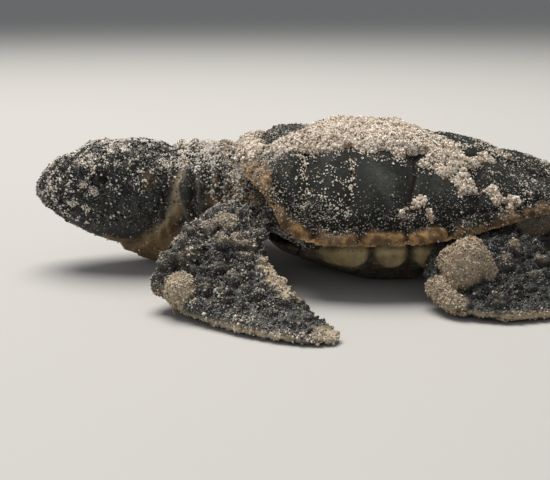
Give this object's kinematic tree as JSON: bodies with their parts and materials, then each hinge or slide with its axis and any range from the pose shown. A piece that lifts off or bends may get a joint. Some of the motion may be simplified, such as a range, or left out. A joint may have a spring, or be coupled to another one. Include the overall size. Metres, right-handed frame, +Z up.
{
  "type": "loggerhead turtle hatchling",
  "caption": "Life-size still model of a newly hatched loggerhead sea turtle crawling on level ground, its back and head coated with grains of sand.",
  "frame": {"origin": "on the floor under the middle of the animal's box", "axes": "+X towards the tail, so the head faces -X; the animal's left side faces -Y; +Z up"},
  "size_m": [0.07, 0.064, 0.0174],
  "materials": {
    "shell": "dull horny plates, dusted with dry sand",
    "belly": "satin horny plates",
    "skin": "dull scaly skin, dusted with damp sand",
    "throat": "soft wrinkled skin",
    "eye": "wet gloss",
    "claw": "smooth horn",
    "sand": "loose pale grains"
  },
  "bodies": {
    "root": {"carapace": "shell", "plastron": "belly", "trunk": "skin", "neck": "throat", "head": "skin", "lower_jaw": "skin", "left_eye": "eye", "right_eye": "eye", "tail": "skin", "left_front_arm": "skin", "left_front_flipper": "skin", "left_hind_thigh": "skin", "left_hind_flipper": "skin", "right_front_arm": "skin", "right_front_flipper": "skin", "right_hind_thigh": "skin", "right_hind_flipper": "skin"}
  },
  "joints": []
}
